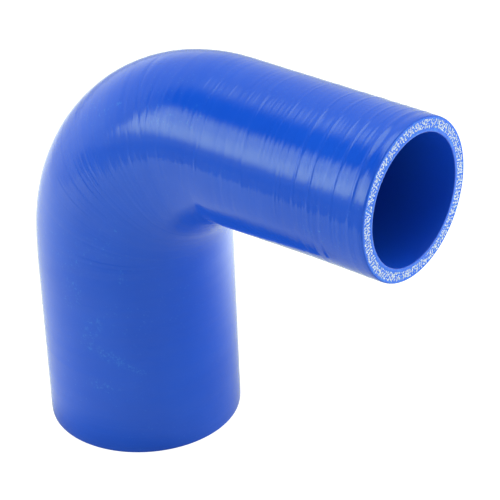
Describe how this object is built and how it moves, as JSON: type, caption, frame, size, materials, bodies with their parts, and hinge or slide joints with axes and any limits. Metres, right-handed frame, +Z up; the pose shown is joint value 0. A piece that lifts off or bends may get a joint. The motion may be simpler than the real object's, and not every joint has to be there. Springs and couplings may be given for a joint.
{
  "type": "silicone elbow hose",
  "caption": "Moulded 90 degree reducing elbow hose with a large and a small open bore, joined by a smooth tapered bend, with fabric in its cut wall.",
  "frame": {"origin": "on the surface that the large cut end stands on, under the middle of the bounding box", "axes": "+Z up along the large leg, +X along the small leg and out of its cut end, Y across the bend"},
  "size_m": [0.1342, 0.0604, 0.1287],
  "materials": {
    "blue_silicone": "satin",
    "ply_fabric": "matte"
  },
  "bodies": {
    "root": {"elbow_hose": "blue_silicone"}
  },
  "joints": []
}
